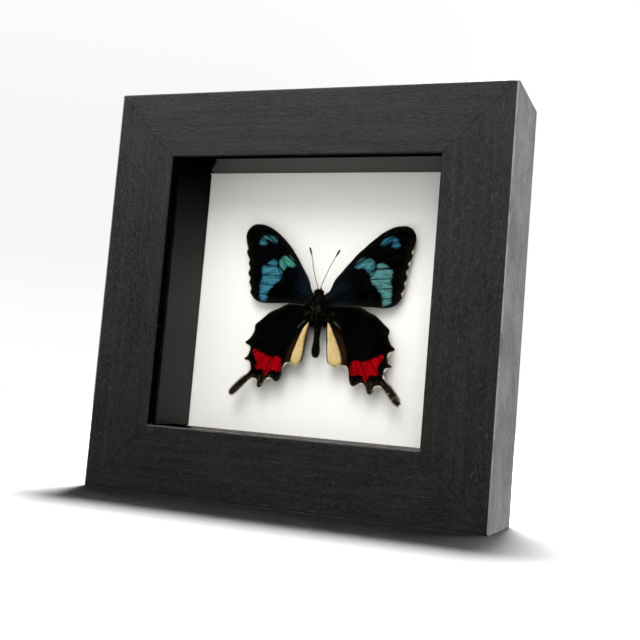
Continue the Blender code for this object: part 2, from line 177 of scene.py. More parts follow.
# The body's sections: up, half its width, half its depth, and its middle's shift sideways
BODY_SECTIONS = np.array([
    (6.7, 0.3, 0.3, -0.6), (6.3, 1.2, 1.1, -0.6), (5.4, 1.7, 1.5, -0.5), (4.6, 1.6, 1.5, -0.4),
    (3.9, 2.0, 1.9, -0.3), (2.4, 2.6, 2.5, -0.1), (0.0, 2.8, 2.8, 0.0), (-2.4, 2.3, 2.5, 0.0),
    (-4.4, 1.7, 1.9, 0.0), (-6.0, 1.45, 1.6, 0.0), (-8.5, 1.15, 1.35, 0.0), (-11.0, 0.95, 1.2, 0.0),
    (-13.5, 1.15, 1.3, 0.0), (-15.8, 1.55, 1.5, 0.0), (-17.4, 1.35, 1.3, 0.0), (-18.3, 0.85, 0.8, 0.0),
    (-18.7, 0.25, 0.25, 0.0),
])
ANTENNAE = {
    "antenna_left": (-1, [(0.9, 6.4), (1.1, 7.6), (2.2, 10.4), (3.3, 14.2), (4.2, 18.4), (5.4, 22.0)]),
    "antenna_right": (1, [(-0.1, 6.4), (0.3, 7.8), (1.6, 11.4), (3.2, 15.0), (4.8, 18.1), (6.6, 21.3)]),
}

ABDOMEN_TOP = -4.4
ABDOMEN_END = -18.7
ABDOMEN_RING = 1.75

# How the wings lie behind the thorax's middle plane, and how they are made
FOREWING_DROOP = 3.8
HINDWING_DROOP = 2.9
INNER_FOLD_RISE = 1.4
TAIL_RISE = 1.5
TAIL_ROOT = (27, -25)
RIPPLE = 0.10
LEFT_HINDWING_TURN = math.radians(-1.2)
WING_SPACING = 0.34
WING_THICK = 0.12
FRINGE_SPACING = 0.05
NOTCH_REACH = 1.3
FOLD_PUFF = 0.75
HAIR = 0.03 * MM


# ---------------- small helpers

def srgb(red, green, blue):
    """A colour given on a screen, 0 to 255, as the linear values that shaders take."""
    def linear(value):
        value /= 255
        return value / 12.92 if value <= 0.04045 else ((value + 0.055) / 1.055) ** 2.4
    return tuple(linear(value) for value in (red, green, blue))


def ease(t):
    """0 below 0, 1 above 1, and a smooth step between."""
    t = np.clip(t, 0.0, 1.0)
    return t * t * (3 - 2 * t)


def smooth(points, steps, closed):
    """A Catmull-Rom curve through the points, with this many steps between each two."""
    points = np.array(points, float)
    padded = np.pad(points, ((1, 2 if closed else 1), (0, 0)), "wrap" if closed else "edge")
    curve = []
    for a, b, c, d in zip(padded, padded[1:], padded[2:], padded[3:]):
        for t in np.arange(steps) / steps:
            bend = (2 * a - 5 * b + 4 * c - d) * t * t + (3 * b - a - 3 * c + d) * t ** 3
            curve.append(b + ((c - a) * t + bend) / 2)
    if not closed:
        curve.append(points[-1])
    return np.array(curve)


def line_distance(points, line):
    """How far each flat point is from an open line."""
    nearest = np.full(len(points), 1e9)
    for a, b in zip(line, line[1:]):
        along = b - a
        share = np.clip(((points - a) @ along) / max(along @ along, 1e-12), 0, 1)
        nearest = np.minimum(nearest, np.linalg.norm(points - a - share[:, None] * along, axis=1))
    return nearest


def inside(points, outline):
    """Which flat points lie in a closed outline."""
    found = np.zeros(len(points), bool)
    for a, b in zip(outline, np.roll(outline, -1, axis=0)):
        if a[1] == b[1]:
            continue
        crosses = (a[1] > points[:, 1]) != (b[1] > points[:, 1])
        crossing = a[0] + (points[:, 1] - a[1]) * (b[0] - a[0]) / (b[1] - a[1])
        found ^= crosses & (points[:, 0] < crossing)
    return found


def depth_in(points, outline):
    """How deep each flat point lies in a closed outline, below 0 outside it."""
    distance = line_distance(points, np.vstack([outline, outline[:1]]))
    return np.where(inside(points, outline), distance, -distance)


def new_object(name, data):
    made = bpy.data.objects.new(name, data)
    bpy.context.scene.collection.objects.link(made)
    return made


def place_and_aim(made, place, aim, roll=0.0):
    """Put a lamp or the camera at a place, looking at another."""
    made.location = place
    made.rotation_mode = "QUATERNION"
    facing = (Vector(aim) - Vector(place)).to_track_quat("-Z", "Y")
    made.rotation_quaternion = facing @ Quaternion((0, 0, 1), roll)


def add_piece(name, points, faces, material, replaced=(), values=None):
    """A smooth mesh piece that rides on the frame. values are named numbers, one for each point."""
    mesh = bpy.data.meshes.new(name)
    mesh.from_pydata(np.asarray(points).tolist(), [], [[int(i) for i in face] for face in faces])
    for key, numbers in (values or {}).items():
        attribute = mesh.attributes.new(key, "FLOAT", "POINT")
        attribute.data.foreach_set("value", np.asarray(numbers, np.float32))
    mesh.polygons.foreach_set("use_smooth", [True] * len(mesh.polygons))
    mesh.materials.append(material)
    piece = new_object(name, mesh)
    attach(piece, "root")
    if replaced:
        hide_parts(*replaced)
    return piece


def loft_faces(rings, sides):
    """Faces of a tube through rings of points, with flat ends."""
    faces = []
    for ring in range(rings - 1):
        for i in range(sides):
            after = (i + 1) % sides
            low, high = ring * sides, (ring + 1) * sides
            faces.append((low + i, low + after, high + after, high + i))
    faces.append(tuple(range(sides))[::-1])
    faces.append(tuple((rings - 1) * sides + i for i in range(sides)))
    return faces


def full_turn(sides):
    """Angles evenly round a circle."""
    return np.arange(sides) * 2 * math.pi / sides


def circles(path, across, upward, radii, sides):
    """Rings of points about each point of a path, or of many paths at once."""
    turns = full_turn(sides)
    reach = radii[..., None, None]
    wide = across[..., None, :] * np.cos(turns)[:, None]
    high = upward[..., None, :] * np.sin(turns)[:, None]
    return (path[..., None, :] + (wide + high) * reach).reshape(-1, 3)


def unit(vectors):
    """The same directions, each one long."""
    return vectors / np.maximum(np.linalg.norm(vectors, axis=-1, keepdims=True), 1e-9)


def tube(path, radii, sides):
    """Points and faces of a tapering round tube along a path."""
    direction = unit(np.gradient(path, axis=0))
    across = unit(np.cross(direction, (0.0, 1.0, 0.0)))
    return circles(path, across, np.cross(across, direction), radii, sides), loft_faces(len(path), sides)


def join(shapes):
    """One list of points and one of faces from several."""
    points, faces, start = [], [], 0
    for shape_points, shape_faces in shapes:
        points.append(shape_points)
        faces += [tuple(i + start for i in face) for face in shape_faces]
        start += len(shape_points)
    return np.vstack(points), faces


def strands(roots, tips, sag, radius, knots):
    """Points and faces of tapering three-sided hairs, and each point's place along its hair.

    sag is how far the hairs' middles are pulled off a straight line."""
    count = len(roots)
    share = np.linspace(0, 1, knots)
    bow = 4 * share * (1 - share)
    sag = np.broadcast_to(sag, roots.shape)
    path = roots[:, None] + (tips - roots)[:, None] * share[:, None] + sag[:, None] * bow[:, None]
    direction = unit(tips - roots)
    helper = np.where(np.abs(direction[:, 1:2]) < 0.9, (0.0, 1.0, 0.0), (1.0, 0.0, 0.0))
    across = unit(np.cross(direction, helper))[:, None]
    upward = np.cross(across, direction[:, None])
    thick = np.broadcast_to(radius, count)[:, None] * (1 - 0.85 * share)
    points = circles(path, across, upward, thick, 3)
    one = np.array([
        (k * 3 + i, k * 3 + (i + 1) % 3, k * 3 + 3 + (i + 1) % 3, k * 3 + 3 + i)
        for k in range(knots - 1) for i in range(3)
    ])
    faces = (one[None] + (np.arange(count) * knots * 3)[:, None, None]).reshape(-1, 4)
    return points, faces, np.tile(np.repeat(share, 3), count)


# ---------------- materials

class Nodes:
    """A short way to write a node tree. A value is a number, a colour or another node's output."""

    def __init__(self, tree):
        self.tree = tree

    def set(self, socket, value):
        if isinstance(value, bpy.types.NodeSocket):
            self.tree.links.new(value, socket)
        elif isinstance(value, tuple) and len(value) == 3 and socket.type == "RGBA":
            socket.default_value = (*value, 1)
        else:
            socket.default_value = value

    def add(self, kind, inputs=(), **settings):
        node = self.tree.nodes.new("ShaderNode" + kind)
        for key, value in settings.items():
            setattr(node, key, value)
        for key, value in dict(inputs).items():
            self.set(node.inputs[key], value)
        return node

    def math(self, operation, a, b=0.0):
        return self.add("Math", {0: a, 1: b}, operation=operation).outputs[0]

    def plus(self, a, b):
        return self.math("ADD", a, b)

    def minus(self, a, b):
        return self.math("SUBTRACT", a, b)

    def times(self, a, b):
        return self.math("MULTIPLY", a, b)

    def most(self, a, b):
        return self.math("MAXIMUM", a, b)

    def ramp(self, value, low, high, to_low=0.0, to_high=1.0):
        """value mapped smoothly from low..high to to_low..to_high."""
        inputs = {"Value": value, "From Min": low, "From Max": high, "To Min": to_low, "To Max": to_high}
        return self.add("MapRange", inputs, interpolation_type="SMOOTHSTEP").outputs["Result"]

    def mix(self, share, a, b, blend="MIX"):
        return self.add("Mix", {0: share, 6: a, 7: b}, data_type="RGBA", blend_type=blend).outputs[2]

    def shaded(self, colour, share):
        """A colour made lighter or darker."""
        grey = self.add("CombineColor", {0: share, 1: share, 2: share}).outputs[0]
        return self.mix(1.0, colour, grey, "MULTIPLY")

    def axes(self, vector):
        return self.add("SeparateXYZ", {0: vector}).outputs

    def attribute(self, name):
        return self.add("Attribute", attribute_name=name).outputs["Fac"]

    def place(self, scale=(1, 1, 1), turn=0.0):
        """The surface's own coordinates in metres, turned in the frame's plane and stretched by scale."""
        own = self.add("TexCoord").outputs["Object"]
        if turn:
            own = self.add("Mapping", {"Vector": own, "Rotation": (0, turn, 0)}).outputs[0]
        return self.add("Mapping", {"Vector": own, "Scale": scale}).outputs[0]

    def noise(self, where, scale, detail=3.0, roughness=0.5, distortion=0.0):
        inputs = {"Vector": where, "Scale": scale, "Detail": detail, "Roughness": roughness}
        return self.add("TexNoise", {**inputs, "Distortion": distortion}).outputs["Fac"]

    def bump(self, height, strength, distance):
        inputs = {"Height": height, "Strength": strength, "Distance": distance}
        return self.add("Bump", inputs).outputs[0]


class Look(Nodes):
    """The nodes of one new material."""

    def __init__(self, name):
        self.material = bpy.data.materials.new(name)
        self.material.use_nodes = True
        super().__init__(self.material.node_tree)
        self.shader = self.tree.nodes["Principled BSDF"]

    def paint(self, value, low, high, first, second):
        """The first coat, between two colours from 0 to 255, as value goes from low to high."""
        self.colour = self.mix(self.ramp(value, low, high), srgb(*first), srgb(*second))

    def over(self, share, *colour):
        """A further coat, where share is above 0."""
        self.colour = self.mix(share, self.colour, srgb(*colour))

    def principled(self, **values):
        for key, value in values.items():
            self.set(self.shader.inputs[key.replace("_", " ")], value)

    def finished(self, roughness, bump, **values):
        """The material, with its coats on. bump is a height, how strong it is and how deep in metres."""
        self.principled(Base_Color=self.colour, Roughness=roughness, Normal=self.bump(*bump), **values)
        return self.material


def wood_material(name, along):
    """Black stained hardwood with its grain along one axis: fine streaks, open pores and rubbed arrises. The
    lip's inner edges carry painted shade above and at the sides, and a painted highlight below.
    """
    g = Look(name)

    def stretched(share):
        return g.place(tuple(share if axis == along else 1 for axis in "xyz"))

    pebble = g.noise(stretched(0.5), 1500, 2, 0.55, 0.6)
    dashes = g.noise(stretched(0.25), 1500, 2, 0.55, 0.6)
    streak = g.noise(stretched(0.05), 420, 4, 0.6, 0.3)
    mottle = g.noise(g.place(), 60, 3)
    g.paint(pebble, 0.36, 0.66, (20, 20, 20), (31, 31, 31))
    g.over(g.ramp(streak, 0.35, 0.7, 0.0, 0.3), 44, 43, 41)
    g.over(g.ramp(dashes, 0.62, 0.72, 0.0, 0.4), 64, 63, 60)
    axes = g.axes(g.place())
    from_axis = g.math("ABSOLUTE", axes[0])
    from_middle = g.minus(axes[2], HEIGHT / 2)
    g.over(g.times(arris_wear(g, axes, from_axis), 0.4), 196, 196, 192)
    painted_lip_shade, painted_lip_highlight = lip_shade_and_highlight(g, axes, from_axis, from_middle)
    # Painted shade makes the lip's upper and side edges dead black; a painted highlight lies on its lower
    # edge.
    g.over(painted_lip_shade, 5, 5, 5)
    g.over(painted_lip_highlight, 86, 70, 60)
    joint = g.ramp(mitre_distance(g, from_axis, from_middle), 0.12 * MM, 0.07 * MM)
    g.over(joint, 22, 22, 22)
    roughness = g.plus(g.ramp(pebble, 0.25, 0.75, 0.36, 0.50), g.ramp(mottle, 0.3, 0.7, -0.04, 0.05))
    relief = g.plus(pebble, g.times(dashes, 0.7))
    # No gloss on the lip's painted shade, nor in the mitre joints.
    dull = g.most(painted_lip_shade, joint)
    on_side = g.ramp(from_axis, HALF_WIDTH - 0.5 * MM, HALF_WIDTH - 0.1 * MM, 0.25, 1.0)
    lines = g.ramp(g.noise(stretched(0.04), 800, 3, 0.6), 0.36, 0.64, -0.16, 0.14)
    gloss = g.times(g.plus(0.5, g.times(lines, on_side)), g.minus(1.0, dull))
    return g.finished(roughness, (relief, 0.4, 0.00015), Specular_IOR_Level=gloss)


def mitre_distance(g, from_axis, from_middle):
    """How far a point is from the nearest mitre joint's plane."""
    from_side = g.minus(HALF_WIDTH, from_axis)
    from_end = g.minus(HEIGHT / 2, g.math("ABSOLUTE", from_middle))
    return g.math("ABSOLUTE", g.minus(from_side, from_end))


def arris_wear(g, axes, from_axis):
    """1 on the frame's upright front edges, which are rubbed pale along most of their length."""
    from_side = g.minus(HALF_WIDTH, from_axis)
    from_front = g.minus(axes[1], FRONT_Y)
    edge = g.most(from_side, from_front)
    patches = g.ramp(g.noise(g.place(), 90, 3, 0.6), 0.3, 0.5, 0.45, 1.0)
    return g.times(g.ramp(edge, ARRIS * 1.15, ARRIS * 0.75), patches)


def lip_shade_and_highlight(g, axes, from_axis, from_middle):
    """1 on the lip's inner edges: above and at the sides, where painted shade makes them dead black, and
    below, where a painted highlight lies.
    """
    beside = g.minus(from_axis, OPENING_HALF_WIDTH)
    above = g.minus(from_middle, OPENING_HALF_HEIGHT)
    below = g.minus(g.times(from_middle, -1.0), OPENING_HALF_HEIGHT)
    outward = g.most(beside, g.most(above, below))
    behind = g.ramp(axes[1], FRONT_Y + 0.2 * MM, FRONT_Y + 0.4 * MM)
    lip = g.times(g.ramp(outward, 0.3 * MM, 0.1 * MM), behind)
    lower = g.times(lip, g.ramp(below, -0.3 * MM, -0.1 * MM))
    return g.minus(lip, lower), lower


def glass_material():
    """Clear glass that lets lamps light what is behind it."""
    g = Look("clear_glass_look")
    g.principled(Base_Color=(1.0, 1.0, 1.0), Roughness=0.0, IOR=1.45, Transmission_Weight=1.0)
    clear = g.add("BsdfTransparent")
    path = g.add("LightPath").outputs
    lets_through = g.most(path["Is Shadow Ray"], path["Is Diffuse Ray"])
    mixed = g.add("MixShader", {0: lets_through, 1: g.shader.outputs[0], 2: clear.outputs[0]})
    g.tree.links.new(mixed.outputs[0], g.tree.nodes["Material Output"].inputs["Surface"])
    return g.material


def board_material(name, stretch, painted_shade_of):
    """Black-brown strip with fine streaks along it. Its shade function gives how much painted shade darkens
    a place on it, which also loses its gloss there.
    """
    g = Look(name)
    lines = g.noise(g.place(stretch), 1300, 4, 0.6, 0.3)
    cloud = g.noise(g.place(), 90, 3)
    g.paint(lines, 0.35, 0.7, (14, 13, 12), (31, 29, 26))
    g.over(g.ramp(cloud, 0.3, 0.7, 0.0, 0.4), 38, 34, 29)
    # Painted shade: black laid over the strip, and its gloss taken away, where the shade function says.
    shade = painted_shade_of(g, g.axes(g.place()))
    g.over(shade, 1, 1, 1)
    return g.finished(0.6, (lines, 0.25, 0.0001), Specular_IOR_Level=g.ramp(shade, 0.0, 0.9, 0.5, 0.0))


def painted_corner_shadow(g, axes):
    """Painted shadow: the top strip is painted dead black at its left end, further along it at the front
    than at the back.
    """
    from_end = g.plus(axes[0], OPENING_HALF_WIDTH)
    reach = g.ramp(axes[1], FRONT_Y + 6 * MM, FRONT_Y + 32 * MM, 14 * MM, 1.5 * MM)
    return g.ramp(g.minus(from_end, reach), 1.0 * MM, -1.0 * MM, 0.0, 0.95)


def painted_upper_end_shade(g, axes):
    """Painted shade: the side strips are painted darker towards their upper ends."""
    return g.ramp(axes[2], HEIGHT * 0.46, HEIGHT * 0.9, 0.4, 0.88)


def card_material():
    """White card with a faint tooth and a very slight warm cast."""
    g = Look("white_card_look")
    fibre = g.noise(g.place((1, 1, 2.2)), 2400, 4, 0.7)
    cloud = g.noise(g.place(), 35, 2)
    g.paint(cloud, 0.3, 0.7, (246, 244, 238), (250, 248, 243))
    g.over(g.ramp(fibre, 0.66, 0.8, 0.0, 0.25), 226, 222, 212)
    return g.finished(0.9, (fibre, 0.12, 0.00008))


def hardboard_material():
    """Brown hardboard: pressed wood fibres of several tones."""
    g = Look("hardboard_look")
    fibre = g.noise(g.place(), 420, 6, 0.75, 1.2)
    cloud = g.noise(g.place(), 28, 3)
    flecks = g.ramp(g.noise(g.place((1, 1, 3)), 1400, 3, 0.7, 0.8), 0.62, 0.72)
    g.paint(fibre, 0.3, 0.7, (104, 76, 50), (142, 108, 74))
    g.over(g.ramp(cloud, 0.35, 0.65, 0.0, 0.5), 120, 92, 64)
    g.over(g.times(flecks, 0.5), 72, 52, 35)
    return g.finished(0.72, (fibre, 0.4, 0.0001))


def steel_material():
    """Zinc-plated sheet steel with fine rolling marks and cloudy spangle."""
    g = Look("steel_look")
    rolled = g.noise(g.place((0.06, 1, 1)), 3000, 3, 0.6)
    cloud = g.noise(g.place(), 300, 3, 0.6, 0.8)
    g.paint(cloud, 0.35, 0.65, (168, 168, 165), (196, 196, 192))
    roughness = g.plus(g.ramp(cloud, 0.3, 0.7, 0.26, 0.40), g.ramp(rolled, 0.3, 0.7, 0.0, 0.08))
    return g.finished(roughness, (rolled, 0.15, 0.00005), Metallic=1.0)


def foam_material():
    """Dark closed-cell foam."""
    g = Look("foam_look")
    cells = g.add("TexVoronoi", {"Vector": g.place(), "Scale": 2600}).outputs["Distance"]
    g.paint(cells, 0.1, 0.6, (40, 39, 37), (66, 64, 60))
    return g.finished(0.85, (cells, 0.4, 0.0002))


def scale_rows(g):
    """Butterfly scales as small cells: a random number for each scale, and the height of its middle."""
    cells = g.add("TexVoronoi", {"Vector": g.place((1, 0.2, 0.62)), "Scale": 9000, "Randomness": 0.8})
    shade = g.add("SeparateColor", {0: cells.outputs["Color"]}).outputs[0]
    return shade, cells.outputs["Distance"]


def marked(g, name, shade, grain, ragged, soft):
    """1 in a coloured area, with single scales scattered across an edge that is ragged along the grain."""
    depth = g.plus(g.attribute(name), g.times(g.minus(shade, 0.5), 0.5))
    wobble = g.times(g.minus(g.noise(grain, 1400, 3, 0.6), 0.5), ragged)
    return g.ramp(g.plus(depth, wobble), -soft, soft)


def finish_wing(g, shade, height, marked_share):
    """Velvety scales: shade varies from scale to scale, the wing's underside is duller."""
    g.colour = g.shaded(g.colour, g.ramp(shade, 0.0, 1.0, 0.82, 1.16))
    facing = g.axes(g.add("NewGeometry").outputs["Normal"])[1]
    g.over(g.ramp(facing, 0.05, 0.2, 0.0, 0.72), 34, 28, 24)
    roughness = g.plus(g.ramp(shade, 0.0, 1.0, 0.62, 0.74), g.times(marked_share, -0.12))
    return g.finished(roughness, (height, 0.3, 0.00003), Specular_IOR_Level=0.01)


def forewing_material(side):
    """Black scales with blue-green spots, each in two hues that run into each other."""
    slant = math.radians(38) * (-1 if side == "left" else 1)
    g = Look("forewing_look_" + side)
    shade, height = scale_rows(g)
    margin = g.ramp(g.attribute("margin"), 2.6, 0.2)
    tone = g.noise(g.place(), 260, 4, 0.6)
    g.paint(tone, 0.3, 0.7, (0, 0, 0), (5, 5, 6))
    g.over(g.times(margin, 0.5), 24, 20, 15)
    sheen = g.times(g.ramp(g.attribute("out"), 13.0, 3.0), g.ramp(tone, 0.25, 0.7, 0.25, 1.0))
    g.over(sheen, 15, 27, 36)
    all_spots = 0.0
    spots = (
        ("cell_spot", g.place((0.12, 1, 1), slant), 1.4, 0.12),
        ("band", g.place((0.16, 1, 1)), 2.0, 0.12),
        ("tip_spots", g.place((0.16, 1, 1), slant * 0.6), 2.6, 0.35),
    )
    for name, grain, ragged, soft in spots:
        area = marked(g, name, shade, grain, ragged, soft)
        rows = g.ramp(g.noise(grain, 1500, 3, 0.6), 0.34, 0.6, 0.42, 1.08)
        first, second = (srgb(*hue) for hue in FOREWING_HUES[side][name])
        hue = g.mix(g.ramp(g.noise(grain, 900, 2), 0.4, 0.62), first, second)
        fade = g.ramp(g.attribute(name), -0.3, 1.2, 0.5, 1.0)
        g.colour = g.mix(area, g.colour, g.shaded(hue, g.times(fade, rows)))
        all_spots = g.most(all_spots, area)
    vein = g.ramp(g.attribute("vein"), 0.34, 0.08, 0.0, 0.75)
    g.over(vein, 8, 12, 15)
    return finish_wing(g, shade, height, all_spots)


def hindwing_material():
    """Black scales with a red patch, and brown at the margin, on the tail and beside the inner fold."""
    g = Look("hindwing_look")
    shade, height = scale_rows(g)
    tone = g.noise(g.place(), 240, 4, 0.6)
    margin = g.ramp(g.attribute("margin"), 1.9, 0.2)
    g.paint(tone, 0.3, 0.7, (0, 0, 0), (4, 4, 5))
    g.over(g.times(margin, 0.5), 24, 20, 15)
    tail = g.ramp(g.attribute("up"), -24.5, -29.0)
    g.over(g.times(tail, g.ramp(tone, 0.3, 0.65, 0.1, 0.7)), 30, 26, 20)
    dust = g.ramp(g.noise(g.place(), 1500, 2, 0.5), 0.60, 0.68)
    g.over(g.times(g.times(tail, dust), 0.8), 150, 138, 112)
    beside_fold = g.ramp(g.attribute("fold"), -3.2, 0.0, 0.0, 0.75)
    inner = g.times(beside_fold, g.ramp(g.attribute("up"), -6.0, -13.0))
    g.over(g.times(inner, g.ramp(tone, 0.3, 0.7, 0.6, 1.0)), 62, 42, 24)
    lengthwise = g.place((1, 1, 0.12))
    red = marked(g, "red", shade, lengthwise, 1.1, 0.12)
    streaks = g.noise(lengthwise, 1500, 3, 0.6)
    red_hue = g.mix(g.ramp(streaks, 0.32, 0.66), srgb(114, 0, 5), srgb(150, 3, 13))
    g.colour = g.mix(red, g.colour, red_hue)
    vein = g.ramp(g.attribute("vein"), 0.32, 0.06, 0.0, 0.7)
    g.over(vein, 14, 6, 7)
    return finish_wing(g, shade, height, red)


def hair_material(name, dark, light, roughness=0.6):
    """Hairs between two tones, each hair with its own, and paler towards its tip."""
    g = Look(name)
    tone = g.plus(g.attribute("tone"), g.times(g.attribute("along"), 0.25))
    colour = g.mix(tone, srgb(*dark), srgb(*light))
    g.principled(Base_Color=colour, Roughness=roughness, Specular_IOR_Level=0.08)
    return g.material


def chitin_material(name, dark, light, roughness, gloss):
    """Dark insect skin, mottled."""
    g = Look(name)
    mottle = g.noise(g.place(), 1400, 4, 0.6)
    g.paint(mottle, 0.35, 0.7, dark, light)
    return g.finished(roughness, (mottle, 0.35, 0.00006), Specular_IOR_Level=gloss)


def cream_material():
    """The woolly cream scales of the hindwing's inner fold, browner at the rim and in streaks."""
    g = Look("cream_look")
    streak = g.noise(g.place((1, 1, 0.12)), 2600, 4, 0.6, 0.4)
    rim = g.times(g.ramp(g.attribute("rim"), 0.85, 0.05), g.ramp(streak, 0.3, 0.6, 0.55, 1.0))
    lumps = g.ramp(g.noise(g.place(), 1100, 3, 0.6), 0.56, 0.68)
    lines = g.ramp(g.noise(g.place((1, 1, 0.06)), 1500, 1, 0.4), 0.50, 0.60)
    root = g.times(g.ramp(g.attribute("up"), -16.0, -9.0), lines)
    g.paint(streak, 0.36, 0.64, (206, 168, 92), (252, 232, 164))
    g.over(g.times(lumps, 0.6), 158, 112, 48)
    g.over(root, 40, 28, 16)
    g.over(rim, 82, 60, 30)
    return g.finished(0.8, (streak, 0.5, 0.0001), Specular_IOR_Level=0.2)


def eye_material():
    """Compound eye: dark and glossy with a fine net of facets."""
    g = Look("eye_look")
    net = {"Vector": g.place(), "Scale": 11000, "Randomness": 0.15}
    facets = g.add("TexVoronoi", net).outputs["Distance"]
    g.paint(facets, 0.2, 0.6, (48, 30, 20), (22, 14, 10))
    return g.finished(0.22, (facets, 0.3, 0.00002))


# ---------------- butterfly

def from_thorax(places):
    """Points in metres for places in millimetres from the thorax's middle: right, back and up."""
    return THORAX + places * MM


def on_butterfly(flat, deep, sign):
    """Points for places on the butterfly. deep is millimetres behind the thorax's middle."""
    return from_thorax(np.stack([sign * flat[:, 0], np.broadcast_to(deep, len(flat)), flat[:, 1]], axis=1))


def forewing_depth(flat):
    return -0.4 + FOREWING_DROOP * ease(flat[:, 0] / 20)


def hindwing_depth(flat):
    out, up = flat[:, 0], flat[:, 1]
    droop = HINDWING_DROOP * ease(out / 15) * ease((up + 22) / 20)
    fold = INNER_FOLD_RISE * ease((10 - out) / 5) * ease((-4 - up) / 6)
    tail = TAIL_RISE * ease((-26 - up) / 8)
    return 0.3 + droop - fold - tail


def fold_depth(flat, rim):
    """Depth of the hindwing's inner fold: a soft roll, which rises steeply from its rim."""
    edge = np.clip(depth_in(flat, rim) / 2, 0, 1)
    return hindwing_depth(flat) - FOLD_PUFF * np.sqrt(1 - (1 - edge) ** 2)


class Wing:
    """One wing's rim, its veins and its place. sign is -1 on the left and 1 on the right."""

    def __init__(self, kind, side, sign, outline, veins, depth_of, turn=0.0):
        self.kind = kind
        self.side = side
        self.sign = sign
        self.rim = smooth(outline, 7, closed=True)
        self.veins = [smooth(vein, 5, closed=False) for vein in veins]
        self.depth_of = depth_of
        self.turn = turn

    def name(self, part=""):
        return self.kind + part + "_" + self.side

    def depth(self, flat):
        """The sheet's depth, with slight waves that start away from the root."""
        wave = np.sin(flat[:, 0] * 0.9 + flat[:, 1] * 0.6) * ease(flat[:, 0] / 8)
        return self.depth_of(flat) + RIPPLE * wave

    def points(self, flat, deep):
        """Points for places on the wing, which is turned a little about the thorax."""
        c, s = math.cos(self.turn), math.sin(self.turn)
        return on_butterfly(flat @ np.array([[c, s], [-s, c]]), deep, self.sign)

    def facing(self, faces):
        """Faces that look forward on either side."""
        return faces if self.sign < 0 else [face[::-1] for face in faces]


def wing_grid(outline, spacing):
    """A dense triangle net inside an outline."""
    low, high = outline.min(0), outline.max(0)
    rows = np.arange(low[1], high[1], spacing * 0.866)
    columns = np.arange(low[0], high[0], spacing)
    grid = np.array([(x + (j % 2) * spacing / 2, y) for j, y in enumerate(rows) for x in columns])
    grid = grid[depth_in(grid, outline) > spacing * 0.5]
    every = [Vector(p) for p in np.vstack([outline, grid])]
    points, _, faces, *_ = delaunay_2d_cdt(every, [], [list(range(len(outline)))], 1, 1e-5)
    return np.array(points), faces


def build_wing(wing, areas, material):
    """A thin sheet with raised veins. Its points carry their depth in each coloured area."""
    flat, faces = wing_grid(wing.rim, WING_SPACING)
    vein = np.min([line_distance(flat, line) for line in wing.veins], axis=0)
    deep = wing.depth(flat) - 0.09 * np.exp(-((vein / 0.5) ** 2))
    values = {"margin": depth_in(flat, wing.rim), "vein": vein, "out": flat[:, 0], "up": flat[:, 1]}
    for key, shapes in areas.items():
        values[key] = np.max([depth_in(flat, smooth(shape, 4, closed=True)) for shape in shapes], axis=0)
    points, faces = wing.points(flat, deep), wing.facing(faces)
    name = wing.name()
    sheet = add_piece(name, points, faces, material, (name,), values)
    thickness = sheet.modifiers.new("thickness", "SOLIDIFY")
    thickness.thickness = WING_THICK * MM
    thickness.offset = 0


def build_veins(wing, material):
    """Veins stand on the wing as thin tubes that taper towards the margin."""
    shapes = []
    for flat in wing.veins:
        path = wing.points(flat, wing.depth(flat) - 0.17)
        shapes.append(tube(path, np.linspace(0.13, 0.06, len(path)) * MM, 5))
    points, faces = join(shapes)
    add_piece(wing.name("_veins"), points, faces, material)


def rim_places(rim, place):
    """Points at distances along a closed rim, and the directions along it and out of it there."""
    closed = np.vstack([rim, rim[:1]])
    reach = np.concatenate([[0], np.cumsum(np.linalg.norm(np.diff(closed, axis=0), axis=1))])
    base, ahead = (
        np.stack([np.interp(distance, reach, closed[:, k]) for k in (0, 1)], axis=1)
        for distance in (place, place + 0.3)
    )
    along = unit(ahead - base)
    outward = np.stack([along[:, 1], -along[:, 0]], axis=1)
    if np.mean(depth_in(base + outward * 0.2, rim)) > 0:
        outward = -outward
    return base, along, outward


def build_fringe(wing, material, free, seed):
    """Hair-like scales where free says that the margin is: short, but long in notches and on the tail."""
    rng = np.random.default_rng(seed)
    around = np.linalg.norm(np.roll(wing.rim, -1, axis=0) - wing.rim, axis=1).sum()
    base, along, outward = rim_places(wing.rim, rng.uniform(0, around, int(around / FRINGE_SPACING)))
    kept = free(base)
    base, along, outward = base[kept], along[kept], outward[kept]
    count = len(base)
    notch = in_notches(base, wing.rim)
    on_tail = ease((base[:, 0] - TAIL_ROOT[0]) / 2) * ease((TAIL_ROOT[1] - base[:, 1]) / 2)
    length = rng.uniform(0.18, 0.42, (count, 1)) * (1 + 1.3 * notch + 1.2 * on_tail)[:, None]
    tip = base + (outward + along * rng.normal(0, 0.3, (count, 1))) * length
    base = base - outward * 0.15
    deep = wing.depth(base)
    roots = wing.points(base, deep)
    tips = wing.points(tip, deep + rng.uniform(-0.08, 0.08, count))
    tone = notch * rng.uniform(0.7, 1.0, count) + rng.uniform(0, 0.04, count)
    radius = HAIR * (1 + np.maximum(notch, on_tail))
    add_hairs(wing.name("_fringe"), material, roots, tips, tone, radius, knots=2)


def in_notches(points, rim):
    """1 for points where the rim curves inwards, 0 on its bulges."""
    centres = np.array([rim[np.linalg.norm(rim - p, axis=1) < NOTCH_REACH].mean(0) for p in points])
    return ease(-depth_in(centres, rim) / 0.12)


def add_hairs(name, material, roots, tips, tone, radius=HAIR, sag=0.0, knots=4):
    """A piece of many hairs. tone is each hair's place between its material's dark and light."""
    points, faces, along = strands(roots, tips, sag, radius, knots)
    values = {"along": along, "tone": np.repeat(tone, knots * 3)}
    add_piece(name, points, faces, material, values=values)


def mixed_tones(rng, count):
    """Mostly dark hairs with a few light ones."""
    return rng.uniform(0, 0.85, count) ** 1.8


